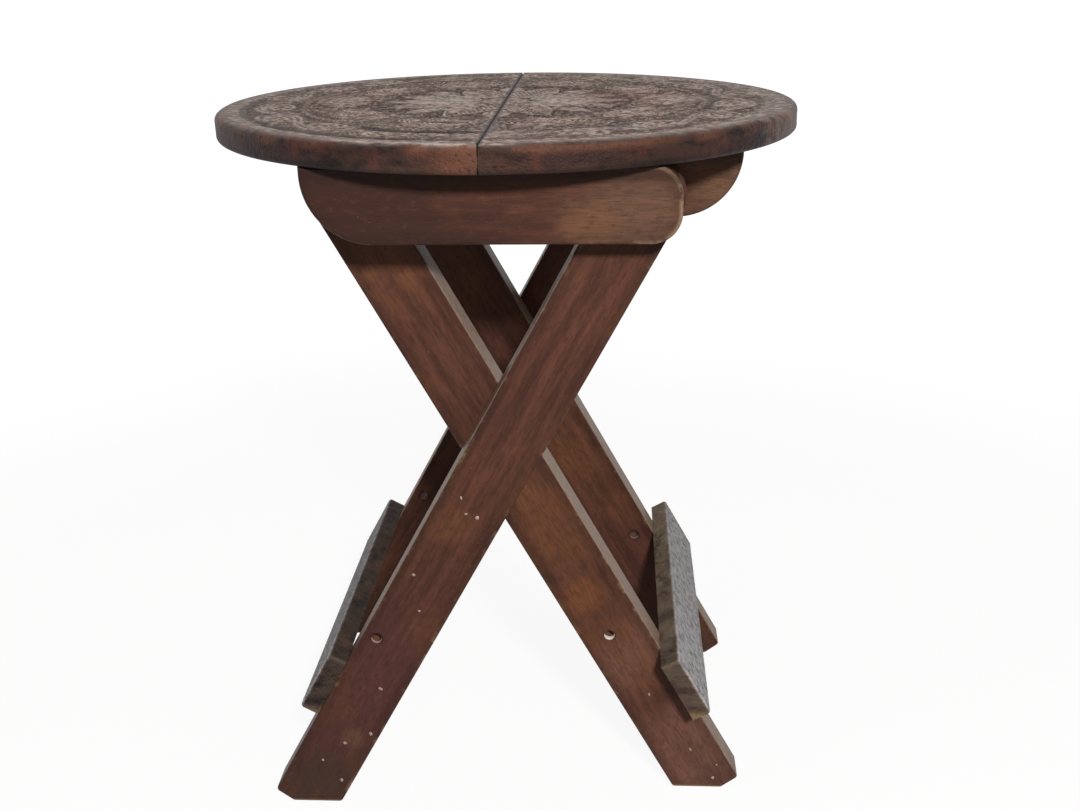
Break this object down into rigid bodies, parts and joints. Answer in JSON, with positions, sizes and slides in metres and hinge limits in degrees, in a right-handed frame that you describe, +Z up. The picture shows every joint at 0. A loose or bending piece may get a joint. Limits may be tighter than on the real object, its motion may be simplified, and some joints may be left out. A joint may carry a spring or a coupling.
{
  "type": "folding stool",
  "caption": "Round folding stool with crossed wooden legs, low side stretchers and a top in two leather-covered halves that part as the legs close.",
  "frame": {"origin": "on the floor, under the middle of the round top", "axes": "+Z up; Y along the seam of the top, with the pictured front at -Y; X across the seam, with the outer frame's feet at -X"},
  "size_m": [0.38, 0.38, 0.466],
  "materials": {
    "outer_front_leg": "red-brown stained and varnished hardwood",
    "outer_back_leg": "red-brown stained and varnished hardwood",
    "outer_stretcher_slat": "plain planed board",
    "outer_stretcher_leather": "dark brown tooled leather, waxed",
    "outer_stretcher_screws": "plain steel",
    "crossing_dowels": "plain hardwood dowel",
    "crossing_washers": "plain steel",
    "left_top_dowels": "plain hardwood dowel",
    "left_top_washers": "plain steel",
    "inner_front_leg": "red-brown stained and varnished hardwood",
    "inner_back_leg": "red-brown stained and varnished hardwood",
    "inner_stretcher_slat": "plain planed board",
    "inner_stretcher_leather": "dark brown tooled leather, waxed",
    "inner_stretcher_screws": "plain steel",
    "right_top_dowels": "plain hardwood dowel",
    "right_top_washers": "plain steel",
    "left_top_board": "plain planed board",
    "left_top_leather": "dark brown tooled leather, waxed",
    "left_leather_tacks": "blued upholstery tack",
    "left_bearer_screws": "plain steel",
    "left_front_bearer": "red-brown stained and varnished hardwood",
    "left_back_bearer": "red-brown stained and varnished hardwood",
    "right_top_board": "plain planed board",
    "right_top_leather": "dark brown tooled leather, waxed",
    "right_leather_tacks": "blued upholstery tack",
    "right_bearer_screws": "plain steel",
    "right_front_bearer": "red-brown stained and varnished hardwood",
    "right_back_bearer": "red-brown stained and varnished hardwood"
  },
  "bodies": {
    "outer_frame": {"outer_front_leg": "outer_front_leg", "outer_back_leg": "outer_back_leg", "outer_stretcher_slat": "outer_stretcher_slat", "outer_stretcher_leather": "outer_stretcher_leather", "outer_stretcher_screws": "outer_stretcher_screws", "crossing_dowels": "crossing_dowels", "crossing_washers": "crossing_washers", "left_top_dowels": "left_top_dowels", "left_top_washers": "left_top_washers"},
    "inner_frame": {"inner_front_leg": "inner_front_leg", "inner_back_leg": "inner_back_leg", "inner_stretcher_slat": "inner_stretcher_slat", "inner_stretcher_leather": "inner_stretcher_leather", "inner_stretcher_screws": "inner_stretcher_screws", "right_top_dowels": "right_top_dowels", "right_top_washers": "right_top_washers"},
    "left_half": {"left_top_board": "left_top_board", "left_top_leather": "left_top_leather", "left_leather_tacks": "left_leather_tacks", "left_bearer_screws": "left_bearer_screws", "left_front_bearer": "left_front_bearer", "left_back_bearer": "left_back_bearer"},
    "right_half": {"right_top_board": "right_top_board", "right_top_leather": "right_top_leather", "right_leather_tacks": "right_leather_tacks", "right_bearer_screws": "right_bearer_screws", "right_front_bearer": "right_front_bearer", "right_back_bearer": "right_back_bearer"}
  },
  "joints": [
    {"name": "scissor", "type": "hinge", "parent": "outer_frame", "child": "inner_frame", "pos_m": [0, 0, 0.25651], "axis": [0, 1, 0], "range_deg": [0, 57.5]},
    {"name": "left_half_turn", "type": "hinge", "parent": "outer_frame", "child": "left_half", "pos_m": [0.0935, 0, 0.426], "axis": [0, 1, 0], "range_deg": [0, 29]},
    {"name": "right_half_turn", "type": "hinge", "parent": "inner_frame", "child": "right_half", "pos_m": [-0.0935, 0, 0.426], "axis": [0, 1, 0], "range_deg": [-29, 0]}
  ],
  "couplings": [
    {"joint": "left_half_turn", "follows": "scissor", "ratio": 0.5},
    {"joint": "right_half_turn", "follows": "scissor", "ratio": -0.5}
  ]
}
